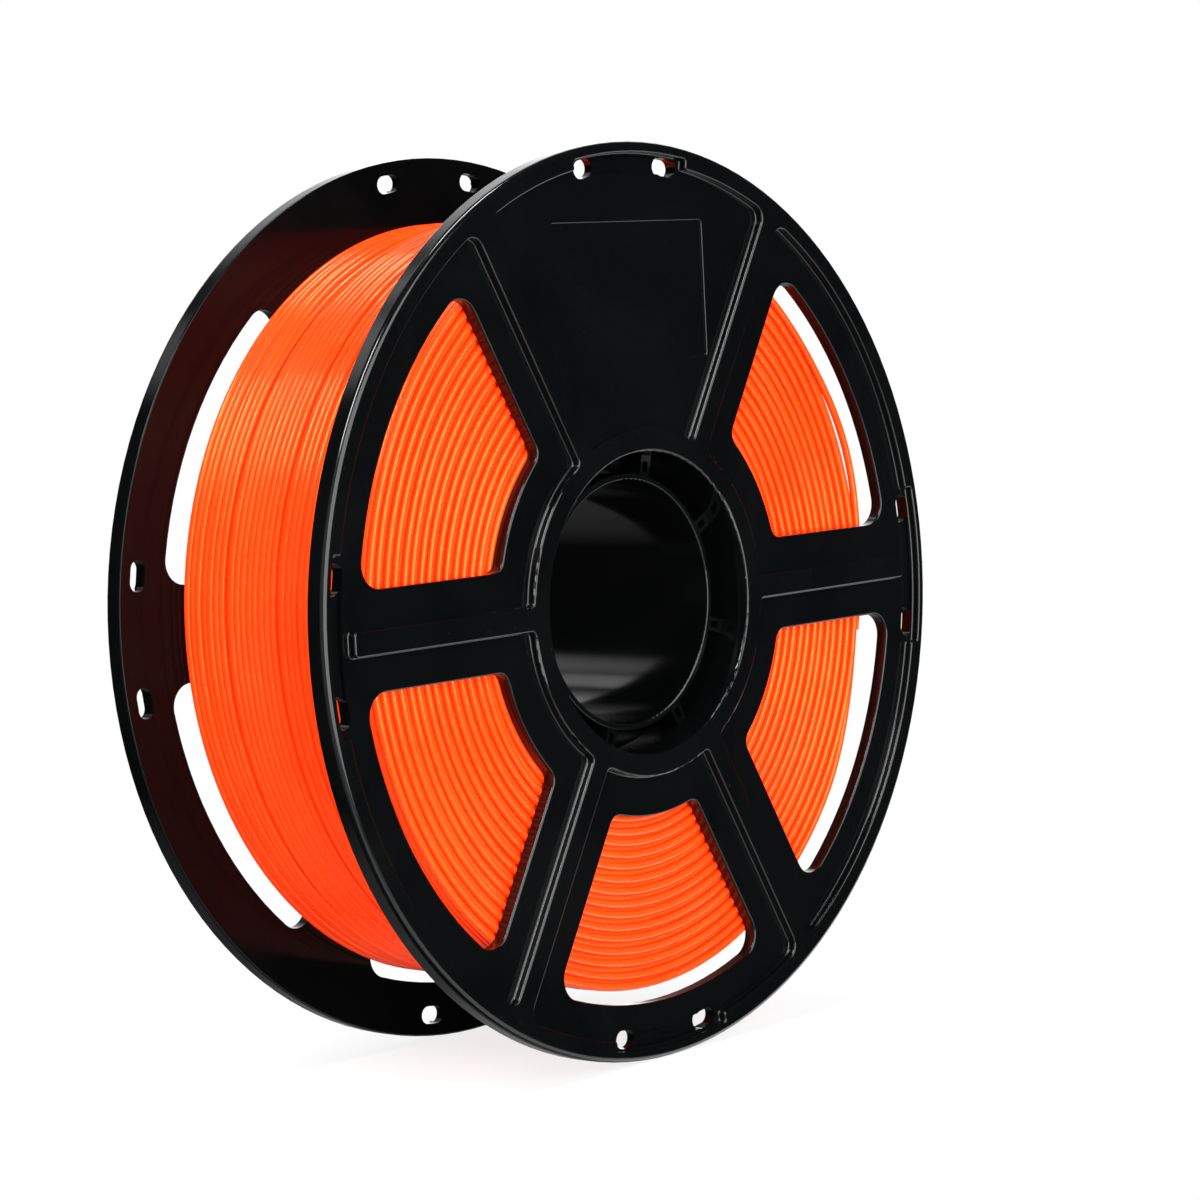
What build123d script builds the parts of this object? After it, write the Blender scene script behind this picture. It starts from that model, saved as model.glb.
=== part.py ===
from build123d import *
import os
from math import acos, asin, atan2, cos, degrees, hypot, pi, radians, sin, tan

os.makedirs("parts", exist_ok=True)

# A 1 kg filament spool, standing on its rims with its axle line along Y.
# The origin is the middle of the bore, the front flange faces -Y and +Z is up.
# All sizes are in millimetres.

# ---- driving dimensions ----
spool_diameter = 200.0
spool_width = 65.0
rim_thickness = 4.6
filament_diameter = 1.75

# flange relief: a raised rim, hub ring and ribs around six recessed sector panels
recess_depth = 1.8
panel_outer_radius = 95.4
hub_ring_radius = 38.0
rib_width = 5.2
rib_angles = (60, 120, 240, 300)
short_rib_angles = (0, 180)
short_rib_end_radius = 91.3
rim_outer_rounding = 1.3
rim_inner_rounding = 0.4
relief_rounding = 0.5
floor_rounding = 0.4
window_rounding = 0.5
panel_outer_corner = 3.0
panel_inner_corner = 1.2
rib_end_corner = 1.0

# windows through five of the panels; the top panel is solid and holds the label
window_angles = (30, 150, 210, 270, 330)
window_outer_radius = 87.7
window_inner_radius = 46.8
window_side_offset = 10.5
window_outer_corner = 5.0
window_inner_corner = 3.0

# shallow rectangle where a label goes
label_width = 49.6
label_height = 30.0
label_centre_height = 67.7
label_depth = 0.35
label_corner = 0.8
label_rounding = 0.25

# pairs of slots that hold the filament's free end, at the four quarter points
slot_pair_angles = (0, 90, 180, 270)
slot_radius = 95.15
slot_half_spacing = 8.1
slot_length = 6.8
slot_width = 4.0
jog_radius = 97.6
jog_half_angle = 10.9
jog_corner = 0.7
groove_inner_radius = 93.4
groove_outer_radius = 96.9
groove_depth = 0.9

# hub: a collar on each flange, a drum between them and a bore tube with snap hooks
hub_opening_radius = 33.0
collar_outer_radius = 35.6
collar_reach = 10.0
drum_outer_radius = 38.0
drum_inner_radius = 35.7
drum_lead_in = 0.6
bore_radius = 26.75
tube_outer_radius = 28.2
tube_length = 52.0
tube_end_rounding = 0.35
hook_count = 8
hook_first_angle = 30.0
hook_width = 3.2
hook_reach_radius = 32.9
hook_length = 6.0
hook_setback = 0.4
hook_pocket_width = 1.5
hook_pocket_height = 2.4
hook_pocket_depth = 4.0
nose_radius = 33.9
nose_root = 0.3
nose_length = 2.0
nose_setback = 1.5
nose_lead_in = 0.9
notch_radius = 33.6
notch_height = 1.6
notch_clearance = 0.2

# winding, as one solid
winding_radius = 83.5
winding_end_rounding = 0.8
winding_clearance = 0.1

# the free end, held by the pair of slots at 3 o'clock in the rear flange
end_slope = 40.0
end_inside_gap = 0.42
end_bridge_lift = 0.3
end_turn_height = -25.0
end_stub_height = 26.5
end_bend_share = 0.45

# ---- values worked out from the driving dimensions ----
spool_radius = spool_diameter / 2
half_width = spool_width / 2
flange_gap = spool_width - 2 * rim_thickness
panel_thickness = rim_thickness - recess_depth
hook_spacing = 360.0 / hook_count
tube_middle_radius = (bore_radius + tube_outer_radius) / 2
hook_height = hook_reach_radius - tube_middle_radius
hook_middle_radius = (hook_reach_radius + tube_middle_radius) / 2
nose_root_radius = hook_reach_radius - nose_root
nose_start = nose_setback - tube_length / 2
front_face = Plane.XZ.offset(half_width)
panel_floor = Plane.XZ.offset(half_width - recess_depth)
front_inner_face = Plane.XZ.offset(half_width - rim_thickness)
hook_face = Plane.XZ.offset(tube_length / 2 - hook_setback)

# how close a point has to be to count as lying at a radius, or at a place along the axle line
radius_tolerance = 0.05
height_tolerance = 0.01


def sector(inner, outer, middle, half_angle, offset=0.0):
    """Draw a piece of a ring in the current sketch; offset keeps its sides parallel to the ribs."""
    far_half = half_angle - degrees(asin(offset / outer))
    near_half = half_angle - degrees(asin(offset / inner))
    with BuildLine() as outline:
        far_arc = CenterArc((0, 0), outer, middle - far_half, 2 * far_half)
        near_arc = CenterArc((0, 0), inner, middle - near_half, 2 * near_half)
        Line(far_arc @ 0, near_arc @ 0)
        Line(far_arc @ 1, near_arc @ 1)
    make_face(outline.edges())


def turn_between(angle, other):
    """The size of the turn from one direction to another, in degrees."""
    return abs((angle - other + 180) % 360 - 180)


def corners(sketch, radius, angles, within=4.0):
    """The sketch's corners at a radius, within some degrees of any of the given directions."""
    return sketch.vertices().filter_by(
        lambda corner: abs(hypot(corner.X, corner.Y) - radius) < radius_tolerance
        and min(turn_between(degrees(atan2(corner.Y, corner.X)), angle) for angle in angles) < within
    )


def flat_edges(edges, height):
    """The edges that lie flat at one place along the axle line."""
    return edges.filter_by(
        lambda edge: abs(edge.bounding_box().min.Y - height) < height_tolerance
        and abs(edge.bounding_box().max.Y - height) < height_tolerance
    )


def distance_out(edge):
    """How far the middle of an edge lies from the axle line."""
    middle = edge.position_at(0.5)
    return hypot(middle.X, middle.Z)


# ---- flanges ----
with BuildPart() as front_flange:
    # disc and hub collar
    with BuildSketch(front_face):
        Circle(spool_radius)
        Circle(hub_opening_radius, mode=Mode.SUBTRACT)
    extrude(amount=-rim_thickness)
    with BuildSketch(front_inner_face):
        Circle(collar_outer_radius)
        Circle(hub_opening_radius, mode=Mode.SUBTRACT)
    extrude(amount=-collar_reach)
    # recessed panels: a ring, less the ribs, plus a jog in the rim beside each pair of slots
    with BuildSketch(front_face) as relief:
        Circle(panel_outer_radius)
        for angle in slot_pair_angles:
            sector(groove_inner_radius, jog_radius, angle, jog_half_angle)
        Circle(hub_ring_radius, mode=Mode.SUBTRACT)
        for angle in rib_angles:
            with Locations(Rotation(0, 0, angle) * Pos(spool_radius / 2, 0)):
                Rectangle(spool_radius, rib_width, mode=Mode.SUBTRACT)
        for angle in short_rib_angles:
            with Locations(Rotation(0, 0, angle) * Pos(short_rib_end_radius / 2, 0)):
                Rectangle(short_rib_end_radius, rib_width, mode=Mode.SUBTRACT)
        fillet(corners(relief, panel_outer_radius, rib_angles), panel_outer_corner)
        fillet(corners(relief, hub_ring_radius, rib_angles + short_rib_angles), panel_inner_corner)
        fillet(corners(relief, hypot(short_rib_end_radius, rib_width / 2), short_rib_angles), rib_end_corner)
        fillet(corners(relief, jog_radius, slot_pair_angles, within=15), jog_corner)
        fillet(corners(relief, panel_outer_radius, slot_pair_angles, within=15), jog_corner)
    extrude(amount=-recess_depth, mode=Mode.SUBTRACT)
    # rounded edges: the rim inside and out, the top of the relief and its floor
    fillet(flat_edges(front_flange.edges(), -half_width).sort_by(distance_out)[-1], rim_outer_rounding)
    fillet(flat_edges(front_flange.edges(), rim_thickness - half_width).sort_by(distance_out)[-1],
           rim_inner_rounding)
    fillet(flat_edges(front_flange.edges(), -half_width).sort_by(distance_out)[:-1], relief_rounding)
    fillet(flat_edges(front_flange.edges(), recess_depth - half_width), floor_rounding)
    # windows
    with BuildSketch(panel_floor) as windows:
        for angle in window_angles:
            sector(window_inner_radius, window_outer_radius, angle, 30, window_side_offset)
        fillet(corners(windows, window_outer_radius, window_angles, within=30), window_outer_corner)
        fillet(corners(windows, window_inner_radius, window_angles, within=30), window_inner_corner)
    extrude(amount=-panel_thickness, mode=Mode.SUBTRACT)
    fillet(flat_edges(front_flange.edges(Select.LAST), recess_depth - half_width), window_rounding)
    # shallow rectangle for a label
    with BuildSketch(panel_floor):
        with Locations((0, label_centre_height)):
            RectangleRounded(label_width, label_height, label_corner)
    extrude(amount=-label_depth, mode=Mode.SUBTRACT)
    fillet(flat_edges(front_flange.edges(Select.LAST), recess_depth - half_width), label_rounding)
    # slots in pairs, with a groove between the two
    with BuildSketch(panel_floor):
        for angle in slot_pair_angles:
            for side in (-1, 1):
                with Locations(Rotation(0, 0, angle + side * slot_half_spacing) * Pos(slot_radius, 0)):
                    SlotOverall(slot_length, slot_width, rotation=90)
    extrude(amount=-panel_thickness, mode=Mode.SUBTRACT)
    with BuildSketch(panel_floor):
        for angle in slot_pair_angles:
            sector(groove_inner_radius, groove_outer_radius, angle, slot_half_spacing)
    extrude(amount=-groove_depth, mode=Mode.SUBTRACT)
    # notches in the collar that the snap hooks click into
    with BuildSketch(Plane.XZ.offset(notch_clearance - nose_start)):
        with PolarLocations(notch_radius, hook_count, start_angle=hook_first_angle):
            Rectangle(notch_height, hook_width + 2 * notch_clearance)
    extrude(amount=-nose_length - 2 * notch_clearance, mode=Mode.SUBTRACT)

with BuildPart() as rear_flange:
    mirror(front_flange.part, about=Plane.XZ)

# ---- hub ----
with BuildPart() as winding_drum:
    with BuildSketch(Plane.XZ):
        Circle(drum_outer_radius)
        Circle(drum_inner_radius, mode=Mode.SUBTRACT)
    extrude(amount=flange_gap / 2, both=True)
    inner_ends = winding_drum.edges().filter_by(GeomType.CIRCLE).sort_by(distance_out)[:2]
    chamfer(inner_ends, drum_lead_in)

with BuildPart() as bore_tube:
    # the front half: the tube, then the hooks, each hollowed by a pocket in its face
    with BuildSketch(Plane.XZ):
        Circle(tube_outer_radius)
        Circle(bore_radius, mode=Mode.SUBTRACT)
    extrude(amount=tube_length / 2)
    fillet(flat_edges(bore_tube.edges(), -tube_length / 2), tube_end_rounding)
    with BuildSketch(hook_face):
        with PolarLocations(hook_middle_radius, hook_count, start_angle=hook_first_angle):
            Rectangle(hook_height, hook_width)
    extrude(amount=-hook_length)
    with BuildSketch(hook_face):
        with PolarLocations(hook_middle_radius, hook_count, start_angle=hook_first_angle):
            Rectangle(hook_pocket_height, hook_pocket_width)
    extrude(amount=-hook_pocket_depth, mode=Mode.SUBTRACT)
    # a nose on each hook, with a sloped lead-in
    for number in range(hook_count):
        nose_plane = Plane.XY.rotated((0, -hook_first_angle - number * hook_spacing, 0))
        with BuildSketch(nose_plane):
            Polygon(
                (nose_root_radius, nose_start),
                (hook_reach_radius, nose_start),
                (nose_radius, nose_start + nose_lead_in),
                (nose_radius, nose_start + nose_length),
                (nose_root_radius, nose_start + nose_length),
                align=None,
            )
        extrude(amount=hook_width / 2, both=True)
    # the rear half
    mirror(about=Plane.XZ)

# ---- filament ----
with BuildPart() as filament_winding:
    with BuildSketch(Plane.XZ):
        Circle(winding_radius)
        Circle(drum_outer_radius, mode=Mode.SUBTRACT)
    extrude(amount=flange_gap / 2 - winding_clearance, both=True)
    outer_ends = filament_winding.edges().filter_by(GeomType.CIRCLE).sort_by(distance_out)[-2:]
    fillet(outer_ends, winding_end_rounding)

# the free end leaves the winding on a tangent, runs through both slots and stops
filament_radius = filament_diameter / 2
slot_centre_x = slot_radius * cos(radians(slot_half_spacing))
slot_centre_z = slot_radius * sin(radians(slot_half_spacing))
inner_face_y = half_width - rim_thickness
groove_floor_y = half_width - recess_depth - groove_depth
slot_middle_y = (inner_face_y + groove_floor_y) / 2
inside_y = inner_face_y - filament_radius - end_inside_gap
bridge_y = groove_floor_y + filament_radius + end_bridge_lift
slope_in_z = slot_centre_z + (slot_middle_y - inside_y) / tan(radians(end_slope))
slope_out_z = slot_centre_z - (bridge_y - slot_middle_y) / tan(radians(end_slope))
strand_radius = winding_radius + filament_radius + winding_clearance / 2
turn_distance = hypot(slot_centre_x, end_turn_height)
turn_direction = atan2(end_turn_height, slot_centre_x)
leave_angle = turn_direction - acos(strand_radius / turn_distance)
end_route = [
    Vector(strand_radius * cos(leave_angle), inside_y, strand_radius * sin(leave_angle)),
    Vector(slot_centre_x, inside_y, end_turn_height),
    Vector(slot_centre_x, inside_y, -slope_in_z),
    Vector(slot_centre_x, bridge_y, -slope_out_z),
    Vector(slot_centre_x, bridge_y, slope_out_z),
    Vector(slot_centre_x, inside_y, slope_in_z),
    Vector(slot_centre_x, inside_y, end_stub_height),
]
end_radii = []
for before, corner, after in zip(end_route, end_route[1:], end_route[2:]):
    half_turn = radians((corner - before).get_angle(after - corner) / 2)
    shorter_run = min((corner - before).length, (after - corner).length)
    end_radii.append(end_bend_share * shorter_run / tan(half_turn))
print("free end, bend radii:", [round(radius, 1) for radius in end_radii])

with BuildPart() as filament_end:
    with BuildLine() as end_path:
        FilletPolyline(*end_route, radius=end_radii)
    with BuildSketch(Plane(origin=end_path.line @ 0, z_dir=end_path.line % 0)):
        Circle(filament_radius)
    sweep()
end_length = sum(edge.length for edge in end_path.edges())
print("free end, length:", round(end_length, 1), "mm")
print("free end, volume against section times length:",
      round(filament_end.part.volume / (pi * filament_radius**2 * end_length), 4))

# ---- files ----
front_flange.part.label = "front_flange"
rear_flange.part.label = "rear_flange"
winding_drum.part.label = "winding_drum"
bore_tube.part.label = "bore_tube"
filament_winding.part.label = "filament_winding"
filament_end.part.label = "filament_end"
export_step(front_flange.part, "parts/front_flange.step")
export_step(rear_flange.part, "parts/rear_flange.step")
export_step(winding_drum.part, "parts/winding_drum.step")
export_step(bore_tube.part, "parts/bore_tube.step")
export_step(filament_winding.part, "parts/filament_winding.step")
export_step(filament_end.part, "parts/filament_end.step")
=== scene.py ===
import math

import bpy
import numpy as np
from mathutils import Matrix, Vector


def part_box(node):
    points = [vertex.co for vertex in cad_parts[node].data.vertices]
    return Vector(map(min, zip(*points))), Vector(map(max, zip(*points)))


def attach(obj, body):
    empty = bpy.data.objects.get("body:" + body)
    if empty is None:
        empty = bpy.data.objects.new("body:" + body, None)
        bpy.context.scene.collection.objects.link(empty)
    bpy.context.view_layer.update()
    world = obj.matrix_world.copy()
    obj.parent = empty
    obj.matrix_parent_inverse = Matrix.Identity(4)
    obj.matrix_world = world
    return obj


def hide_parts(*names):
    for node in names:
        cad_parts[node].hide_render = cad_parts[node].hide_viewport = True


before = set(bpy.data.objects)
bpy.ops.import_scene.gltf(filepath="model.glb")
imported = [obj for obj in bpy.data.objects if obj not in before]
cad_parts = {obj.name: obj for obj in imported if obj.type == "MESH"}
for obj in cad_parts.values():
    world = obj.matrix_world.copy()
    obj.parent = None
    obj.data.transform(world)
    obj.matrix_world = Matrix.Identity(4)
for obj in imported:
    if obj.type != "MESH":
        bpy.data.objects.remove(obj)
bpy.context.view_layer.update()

MM = 0.001

# ---- sizes, from the frame where it has them ----
winding_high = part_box("filament_winding")[1]
drum_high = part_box("winding_drum")[1]
end_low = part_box("filament_end")[0]
floor_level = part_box("front_flange")[0].z
gap_half_width = drum_high.y
drum_radius = drum_high.z
strand_radius = 0.875 * MM
clearance = 0.05 * MM

# the outer layer, from the front flange to the rear one: its turns are the ridges of the winding's surface
outer_turns = 32
first_across = strand_radius + clearance - gap_half_width
ridge_height = 0.3 * MM
outer_radius = winding_high.z + ridge_height - strand_radius
layer_rise = strand_radius * math.sqrt(3)
flattening = 1.3 * MM

# turns that have sunk between their neighbours, which makes the grooves: turn from the front, depth, and how
# much the groove deepens and widens near 11 o'clock; a groove's width is in turns
sunk_turns = ((11, 0.3 * MM, 0), (15, 0.95 * MM, 0.2), (24, 1.0 * MM, 0.85), (28, 0.3 * MM, 0))
groove_middle = math.radians(113)
groove_reach = math.radians(24)
groove_width = 0.5
groove_widening = 0.9

# how far the outer layer's line drifts in height, slowly and quickly, and how unevenly its turns lie
slow_drift = 0.16 * MM
quick_drift = 0.05 * MM
unevenness = 0.07 * MM

# a loose stretch of the first turn, beside the window at 2 o'clock
loose_middle = math.radians(21)
loose_reach = math.radians(12)
loose_lift = 1.35 * MM

# the thin strand behind each seam of the outer layer: it keeps to the lower of the two turns where they lie
# further apart in height than about seam_step
seam_thickness = 0.35 * MM
seam_height = 0.02 * MM
seam_step = 0.5 * MM

# the outer layer's sideways step from one turn to the next, and where the strand comes up and leaves
step_start = math.radians(-40)
step_end = math.radians(-10)
rise_reach = math.radians(25)
leave_reach = math.radians(45)
end_radius = winding_high.z + strand_radius + clearance
end_across = end_low.y + strand_radius
end_inset = 0.5 * MM
leave_angle = math.atan2(end_low.z + end_inset, end_low.x + end_inset)

# the turns that lie against a flange: how far apart, how far the turns between them nestle in, and how far
# they drift in height and away from the flange
face_pitch = 2.15 * MM, 3.05 * MM
nestling = 0.84
face_drift = 0.16 * MM
between_drift = 0.08 * MM
away_drift = 0.08 * MM

# how finely the meshes are divided
TURN_POINTS = 168
STRAND_SIDES = 12
FACE_TURN_POINTS = 144
FACE_STRAND_SIDES = 10
SEAM_SIDES = 8


# ---- meshes ----
def ring_section(angle, profile):
    """The points of a closed profile of (distance out, place across) turned to an angle about the axle line."""
    out, across = profile
    return np.stack([out * math.cos(angle), across, out * math.sin(angle)], axis=1)


def mesh_piece(name, points, faces, material, crease=None):
    """A smooth-shaded mesh object that moves with the spool."""
    mesh = bpy.data.meshes.new(name)
    mesh.from_pydata(points.tolist(), [], faces)
    mesh.polygons.foreach_set("use_smooth", [True] * len(mesh.polygons))
    if crease is not None:
        mesh.set_sharp_from_angle(angle=crease)
    mesh.validate()
    mesh.update()
    mesh.materials.append(material)
    piece = bpy.data.objects.new(name, mesh)
    bpy.context.scene.collection.objects.link(piece)
    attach(piece, "root")
    return piece


def swept(sections, closed, first_index=0):
    """Points and faces of a skin over a row of sections, which run anticlockwise seen from the row's end."""
    count, sides = len(sections), len(sections[0])
    index = first_index + np.arange(count * sides).reshape(count, sides)
    after = np.roll(index, -1, axis=0)
    if not closed:
        index, after = index[:-1], after[:-1]
    quads = np.stack([index, np.roll(index, -1, axis=1), np.roll(after, -1, axis=1), after], axis=-1)
    faces = quads.reshape(-1, 4).tolist()
    if not closed:
        faces.append(list(range(first_index + sides - 1, first_index - 1, -1)))
        last = first_index + (count - 1) * sides
        faces.append(list(range(last, last + sides)))
    return np.concatenate(sections), faces


def strand(angles, radii, across, closed, first_index=0, sides=STRAND_SIDES, thickness=strand_radius):
    """A round strand that follows the given angles about the axle line."""
    turn = np.linspace(0, math.tau, sides, endpoint=False)
    rim = thickness * np.cos(turn), thickness * np.sin(turn)
    sections = [ring_section(a, (r + rim[0], y + rim[1])) for a, r, y in zip(angles, radii, across)]
    return swept(sections, closed, first_index)


def wander(random, angles, size, waves=(0.41, 1.13, 2.27, 3.61)):
    """A slow random drift to either side, as waves that go round so many times in a turn."""
    total = np.zeros(len(angles))
    for wave in waves:
        total += random.uniform(0.3, 1) * np.sin(wave * angles + random.uniform(0, math.tau)) / math.sqrt(wave)
    return size * total / len(waves)


def out_of_round(angles, radius):
    """The winding lies a little flatter at 3 and 9 o'clock, more so the further out."""
    share = (radius - drum_radius) / (outer_radius - drum_radius)
    return -flattening * np.cos(2 * np.asarray(angles)) * share


def smooth_step(x):
    """Rises smoothly from 0 to 1 between 0 and 1, and stays there."""
    x = np.clip(x, 0, 1)
    return x * x * (3 - 2 * x)


def bell(x):
    """1 at 0, and falls smoothly to nothing at about 2 to either side."""
    return np.exp(-x * x)


def turn_place(angles):
    """How many turns from the front flange the outer layer's line is, at each angle along it."""
    since_first = angles - step_end
    turn_number = np.floor(since_first / math.tau)
    step_length = step_end - step_start
    step_share = (since_first - turn_number * math.tau - (math.tau - step_length)) / step_length
    return turn_number + smooth_step(step_share)


def outer_path():
    """The outer layer's line: it lies against the front flange first and steps aside once a turn."""
    random = np.random.default_rng(7)
    total = (outer_turns - 1) * math.tau + (leave_angle % math.tau) - step_end
    angles = step_end + np.linspace(0, total, int(total / math.tau * TURN_POINTS))
    since_first = angles - step_end
    place = turn_place(angles)

    # the neighbours of a sunk turn close in over it, and the others share the room that this leaves
    closer = [2 * strand_radius - math.sqrt(4 * strand_radius**2 - depth**2) for _, depth, _ in sunk_turns]
    pitch = (2 * sum(closer) - 2 * first_across) / (outer_turns - 1)
    across = first_across + pitch * place
    uneven_height = random.normal(0, unevenness, outer_turns + 1)
    radii = outer_radius + out_of_round(angles, outer_radius)
    radii += np.interp(place, np.arange(outer_turns + 1), uneven_height)
    from_middle = np.angle(np.exp(1j * (angles - groove_middle)))
    for (turn, depth, spread), drawn_in in zip(sunk_turns, closer):
        opened = spread * bell(from_middle / groove_reach)
        across -= drawn_in * (smooth_step(place - turn + 1) + smooth_step(place - turn))
        radii -= depth * (1 + opened) * bell((place - turn) / (groove_width + groove_widening * opened))

    radii += wander(random, angles, slow_drift) + wander(random, angles, quick_drift, (5.3, 8.7))
    radii += loose_lift * bell((angles - loose_middle) / loose_reach) * (since_first < math.tau)
    # the first turn comes up from the layer below, and the last one lifts off to leave
    radii -= layer_rise * (1 - smooth_step(since_first / rise_reach))
    leaving = smooth_step(1 - (angles[-1] - angles) / leave_reach)
    radii += (end_radius - radii) * leaving
    across += (end_across - across) * leaving
    return angles, radii, across


def face_turns(name, side, seed, material):
    """The turns that lie against one flange, and between them those of the layers that stop a little short."""
    random = np.random.default_rng(seed)
    angles = np.linspace(0, math.tau, FACE_TURN_POINTS, endpoint=False)
    flange_place = abs(first_across)
    points, faces, count = [], [], 0

    def add(radius, place, drift):
        nonlocal count
        radii = radius + out_of_round(angles, radius) + wander(random, angles, drift, (1, 2, 3))
        across = side * (place - np.abs(wander(random, angles, away_drift, (1, 2, 4))))
        more_points, more_faces = strand(angles, radii, across, True, count, FACE_STRAND_SIDES)
        points.append(more_points)
        faces.extend(more_faces)
        count += len(more_points)

    radius = outer_radius
    while radius > drum_radius + 2 * strand_radius:
        pitch = random.uniform(*face_pitch)
        set_back = nestling * math.sqrt(4 * strand_radius**2 - pitch**2 / 4)
        add(radius - pitch / 2, flange_place - set_back, between_drift)
        radius -= pitch
        if radius > drum_radius + strand_radius:
            add(radius, flange_place, face_drift)
    return mesh_piece(name, np.concatenate(points), faces, material)


def seam_path(angles, radii, across):
    """A line between each turn of the outer layer and the next: it stays low where one of the two has sunk."""
    a_turn_on = angles + math.tau
    seam = a_turn_on <= angles[-1]
    next_radii = np.interp(a_turn_on[seam], angles, radii)
    next_across = np.interp(a_turn_on[seam], angles, across)
    apart = np.abs(next_radii - radii[seam])
    raised = apart / 2 * bell(apart / seam_step) + seam_height
    return angles[seam], np.minimum(next_radii, radii[seam]) + raised, (next_across + across[seam]) / 2


def under_layers(path, material):
    """The layers below: a closed ring with a ridge for each turn, and a thin strand behind each outer seam."""
    ridge_angles = np.radians((-90, -45, 0, 45))
    centre = outer_radius - layer_rise
    half = abs(first_across) - strand_radius
    ridges = outer_turns - 1
    out, across = [drum_radius, centre - strand_radius], [-half, -half]
    for number in range(ridges):
        middle = half * ((2 * number + 1) / ridges - 1)
        out += list(centre + strand_radius * np.cos(ridge_angles))
        across += list(middle + half / ridges * np.sin(ridge_angles))
    out += [centre, centre - strand_radius, drum_radius]
    across += [half, half, half]
    out, across = np.array(out), np.array(across)
    sections = []
    for angle in np.linspace(0, math.tau, TURN_POINTS, endpoint=False):
        sections.append(ring_section(angle, (out + out_of_round(angle, out), across)))
    points, faces = swept(sections, closed=True)
    seam_points, seam_faces = strand(*seam_path(*path), closed=False, first_index=len(points), sides=SEAM_SIDES,
                                     thickness=seam_thickness)
    return mesh_piece("winding_under_layers", np.concatenate([points, seam_points]), faces + seam_faces,
                      material, crease=math.radians(60))


# ---- materials ----
def node(tree, kind, **settings):
    """A shader node with its settings, and its inputs by name."""
    made = tree.nodes.new(kind)
    for key, value in settings.items():
        if hasattr(made, key):
            setattr(made, key, value)
        else:
            made.inputs[key.replace("_", " ")].default_value = value
    return made


def noise(tree, position, scale, detail, distortion=0.0):
    """A noise pattern with so many waves in a metre or so."""
    made = node(tree, "ShaderNodeTexNoise", Scale=scale, Detail=detail, Distortion=distortion)
    tree.links.new(position, made.inputs["Vector"])
    return made.outputs["Fac"]


def ramp(tree, factor, low, high, low_value, high_value):
    """Maps a factor from low..high to a range of values, and holds them outside it."""
    made = node(tree, "ShaderNodeMapRange")
    for key, value in (("From Min", low), ("From Max", high), ("To Min", low_value), ("To Max", high_value)):
        made.inputs[key].default_value = value
    tree.links.new(factor, made.inputs["Value"])
    return made.outputs["Result"]


def mixed_colour(tree, factor, first, second):
    """A mix of two colours, each a tuple or another node's colour."""
    made = tree.nodes.new("ShaderNodeMix")
    made.data_type = "RGBA"
    tree.links.new(factor, made.inputs["Factor"])
    for socket, value in ((made.inputs["A"], first), (made.inputs["B"], second)):
        if isinstance(value, tuple):
            socket.default_value = (*value, 1)
        else:
            tree.links.new(value, socket)
    return made.outputs["Result"]


def bump(tree, height, distance, strength, before=None):
    """A bump on the surface, on top of the one before."""
    made = node(tree, "ShaderNodeBump", Strength=strength, Distance=distance)
    tree.links.new(height, made.inputs["Height"])
    if before is not None:
        tree.links.new(before, made.inputs["Normal"])
    return made.outputs["Normal"]


def new_material(name):
    """A material, its node tree, its shader and the place in the object that its patterns follow."""
    material = bpy.data.materials.new(name)
    material.use_nodes = True
    tree = material.node_tree
    shader = tree.nodes["Principled BSDF"]
    position = tree.nodes.new("ShaderNodeTexCoord").outputs["Object"]
    return material, tree, shader, position


def black_plastic(name, reflectance):
    """Glossy injection-moulded black: faint flow marks, orange peel and a little dust."""
    black, paler_black, dust_grey = (0.0009, 0.0011, 0.0012), (0.0015, 0.0017, 0.0018), (0.008, 0.008, 0.0075)
    dust_roughness = 0.08
    material, tree, shader, position = new_material(name)
    flow = noise(tree, position, 22, 4, 1.5)
    peel = noise(tree, position, 900, 2)
    dust = ramp(tree, noise(tree, position, 1400, 1), 0.77, 0.8, 0, 1)
    colour = mixed_colour(tree, ramp(tree, flow, 0.35, 0.65, 0, 1), black, paler_black)
    tree.links.new(mixed_colour(tree, dust, colour, dust_grey), shader.inputs["Base Color"])
    roughness = node(tree, "ShaderNodeMath", operation="MULTIPLY_ADD")
    tree.links.new(dust, roughness.inputs[0])
    roughness.inputs[1].default_value = dust_roughness
    tree.links.new(ramp(tree, flow, 0.3, 0.7, 0.1, 0.16), roughness.inputs[2])
    tree.links.new(roughness.outputs[0], shader.inputs["Roughness"])
    flow_marks = bump(tree, flow, 0.05 * MM, 0.06)
    tree.links.new(bump(tree, peel, 0.002 * MM, 0.03, flow_marks), shader.inputs["Normal"])
    shader.inputs["IOR"].default_value = 1.5
    shader.inputs["Specular IOR Level"].default_value = reflectance
    return material


def filament():
    """Glossy orange filament: the colour and gloss drift along the strand, under fine drawing marks."""
    orange, paler_orange = (0.97, 0.041, 0.0036), (0.975, 0.049, 0.0048)
    material, tree, shader, position = new_material("orange_filament_gloss")
    drift = noise(tree, position, 38, 3, 0.6)
    fine = noise(tree, position, 520, 3)
    colour = mixed_colour(tree, ramp(tree, drift, 0.35, 0.65, 0, 1), orange, paler_orange)
    tree.links.new(colour, shader.inputs["Base Color"])
    tree.links.new(ramp(tree, drift, 0.3, 0.7, 0.13, 0.19), shader.inputs["Roughness"])
    tree.links.new(bump(tree, fine, 0.01 * MM, 0.08), shader.inputs["Normal"])
    shader.inputs["Subsurface Weight"].default_value = 0.35
    shader.inputs["Subsurface Radius"].default_value = (1.0, 0.2, 0.06)
    shader.inputs["Subsurface Scale"].default_value = 1.2 * MM
    shader.inputs["IOR"].default_value = 1.46
    shader.inputs["Specular IOR Level"].default_value = 0.6
    shader.inputs["Specular Tint"].default_value = (1.0, 0.62, 0.17, 1)
    return material


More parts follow.
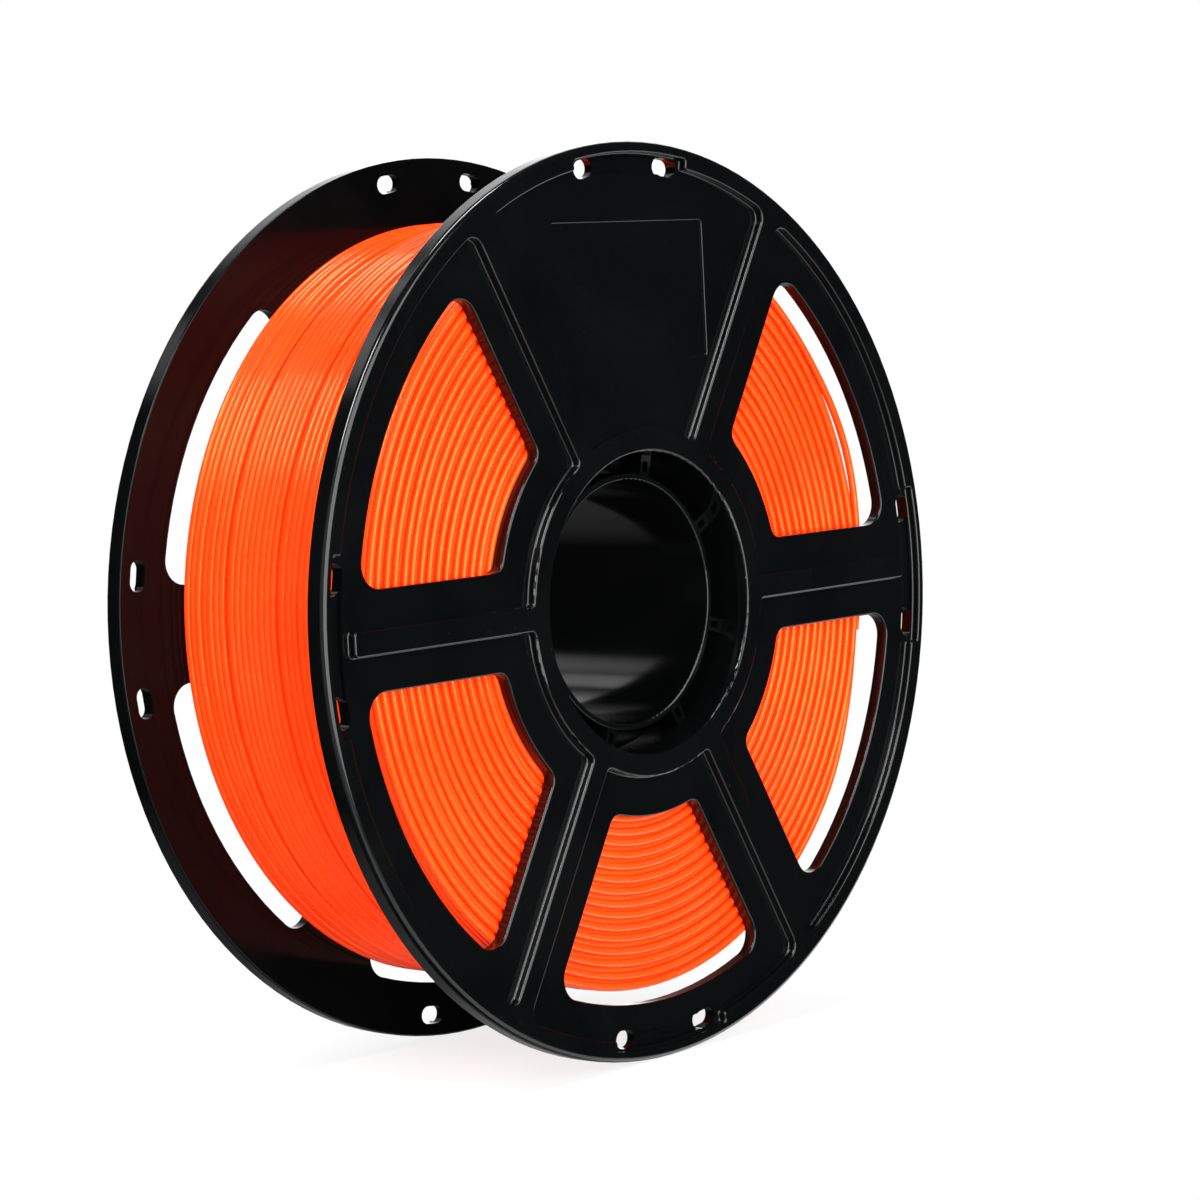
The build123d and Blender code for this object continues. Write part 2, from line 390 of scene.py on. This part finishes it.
# ---- camera, floor and light ----
def direction(azimuth, elevation):
    """Towards a place around the spool: azimuth 0 is in front of it, and 90 is to its right."""
    a, e = math.radians(azimuth), math.radians(elevation)
    return Vector((math.sin(a) * math.cos(e), -math.cos(a) * math.cos(e), math.sin(e)))


def make_camera():
    """The view of the front and the left side, a little turned and a little aside from the spool's middle."""
    azimuth, elevation, roll = -48.514, 4.724, -2.823
    distance, shift_aside = 0.8236, 0.01305
    back = direction(azimuth, elevation)
    right = Vector((math.cos(math.radians(azimuth)), math.sin(math.radians(azimuth)), 0))
    up = back.cross(right)
    turned = right * math.cos(math.radians(roll)) + up * math.sin(math.radians(roll))
    up = back.cross(turned)
    data = bpy.data.cameras.new("camera")
    data.sensor_width = 36
    data.lens = 110.55
    data.clip_start = 0.01
    camera = bpy.data.objects.new("camera", data)
    camera.matrix_world = Matrix.Translation(back * distance + turned * shift_aside) @ Matrix(
        (turned, up, back)).transposed().to_4x4()
    bpy.context.scene.collection.objects.link(camera)
    bpy.context.scene.camera = camera


def make_floor():
    """A pale round floor, which the camera sees fade out a little way from the spool."""
    rings, spokes, radius = 12, 64, 0.22
    fade_start, fade_end, faded_at_start = 0.02, 0.13, 0.2
    points = [(0, 0, floor_level)]
    for ring in range(1, rings + 1):
        out = radius * ring / rings
        for spoke in range(spokes):
            angle = math.tau * spoke / spokes
            points.append((out * math.cos(angle), out * math.sin(angle), floor_level))
    faces = [(0, 1 + s, 1 + (s + 1) % spokes) for s in range(spokes)]
    for ring in range(rings - 1):
        base = 1 + ring * spokes
        for s in range(spokes):
            t = (s + 1) % spokes
            faces.append((base + s, base + spokes + s, base + spokes + t, base + t))
    mesh = bpy.data.meshes.new("floor")
    mesh.from_pydata(points, [], faces)
    floor = bpy.data.objects.new("floor", mesh)
    bpy.context.scene.collection.objects.link(floor)
    floor.visible_glossy = False

    material, tree, shader, position = new_material("pale_floor")
    shader.inputs["Base Color"].default_value = (0.72, 0.72, 0.72, 1)
    shader.inputs["Roughness"].default_value = 0.7
    length = node(tree, "ShaderNodeVectorMath", operation="LENGTH")
    tree.links.new(position, length.inputs[0])
    clear = tree.nodes.new("ShaderNodeBsdfTransparent")
    fade = tree.nodes.new("ShaderNodeMixShader")
    faded = node(tree, "ShaderNodeMath", operation="MULTIPLY")
    distance_fade = ramp(tree, length.outputs["Value"], fade_start, fade_end, faded_at_start, 1)
    tree.links.new(distance_fade, faded.inputs[0])
    tree.links.new(tree.nodes.new("ShaderNodeLightPath").outputs["Is Camera Ray"], faded.inputs[1])
    tree.links.new(faded.outputs[0], fade.inputs[0])
    tree.links.new(shader.outputs[0], fade.inputs[1])
    tree.links.new(clear.outputs[0], fade.inputs[2])
    tree.links.new(fade.outputs[0], tree.nodes["Material Output"].inputs["Surface"])
    mesh.materials.append(material)


def softbox(name, azimuth, elevation, distance, width, height, power, level=(0, 0, 1)):
    """A soft white area light that faces the spool, with its height along the level direction."""
    data = bpy.data.lights.new(name, "AREA")
    data.shape = "RECTANGLE"
    data.size, data.size_y = width, height
    data.energy = power
    light = bpy.data.objects.new(name, data)
    towards = direction(azimuth, elevation)
    aside = Vector(level).cross(towards).normalized()
    light.matrix_world = Matrix.Translation(towards * distance) @ Matrix(
        (aside, towards.cross(aside), towards)).transposed().to_4x4()
    light.visible_camera = False
    bpy.context.scene.collection.objects.link(light)


def make_world():
    """White behind the spool, and soft grey for its light; its gloss sees a dark room with bright areas."""
    dark_room, soft_light = (0.02, 0.02, 0.02), (0.58, 0.58, 0.58)
    world = bpy.data.worlds.new("studio")
    world.use_nodes = True
    tree = world.node_tree
    path = tree.nodes.new("ShaderNodeLightPath")
    seen_direction = tree.nodes.new("ShaderNodeTexCoord").outputs["Generated"]
    reflected = dark_room
    # azimuth and elevation of each bright area, where its edge starts and ends (degrees), and its brightness
    areas = ((-62, 0, 32, 46, 0.9), (139, 20, 22, 36, 1.9), (132, 10, 8, 18, 2.4), (112, -42, 25, 46, 0.42),
             (-163, 41, 3, 10, 2.0), (180, 51.5, 5, 8, 2.2), (78, -36, 16, 24, 2.6), (30, -42, 18, 26, 2.4),
             (-18, -40, 14, 22, 2.2), (-168, -47, 8, 22, 0.3))
    for azimuth, elevation, inner, outer, level in areas:
        near = node(tree, "ShaderNodeVectorMath", operation="DOT_PRODUCT")
        tree.links.new(seen_direction, near.inputs[0])
        near.inputs[1].default_value = direction(azimuth, elevation)
        edge, full = math.cos(math.radians(outer)), math.cos(math.radians(inner))
        within = ramp(tree, near.outputs["Value"], edge, full, 0, 1)
        reflected = mixed_colour(tree, within, reflected, (level, level, level))
    around = mixed_colour(tree, path.outputs["Is Glossy Ray"], soft_light, reflected)
    colour = mixed_colour(tree, path.outputs["Is Camera Ray"], around, (1, 1, 1))
    tree.links.new(colour, tree.nodes["Background"].inputs["Color"])
    bpy.context.scene.world = world


make_camera()
make_floor()
make_world()
axle = (0, 1, 0)
softbox("left_box", azimuth=-81, elevation=48, distance=1.2, width=0.52, height=0.2, power=18, level=axle)
softbox("top_box", azimuth=90, elevation=86, distance=1.2, width=0.44, height=0.2, power=9.5, level=axle)
softbox("front_box", azimuth=-12, elevation=12, distance=1.5, width=1.7, height=1.8, power=78)
bpy.context.scene.view_settings.view_transform = "Standard"

# ---- the spool ----
plastic = black_plastic("gloss_black_plastic", reflectance=0.26)
# the rear flange gets a copy of the same plastic with weaker gloss, so it mirrors less of the winding: painted
# shade on its inner face
shaded_rear_plastic = black_plastic("gloss_black_plastic_rear_shaded", reflectance=0.1)
orange = filament()
for name, cad_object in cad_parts.items():
    material = shaded_rear_plastic if name == "rear_flange" else plastic
    cad_object.data.materials[0] = orange if name.startswith("filament") else material

path = outer_path()
outer = mesh_piece("winding_outer_layer", *strand(*path, closed=False), orange)
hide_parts("filament_winding")
face_turns("winding_front_turns", -1, 11, orange)
face_turns("winding_rear_turns", 1, 12, orange)
under_layers(path, orange)
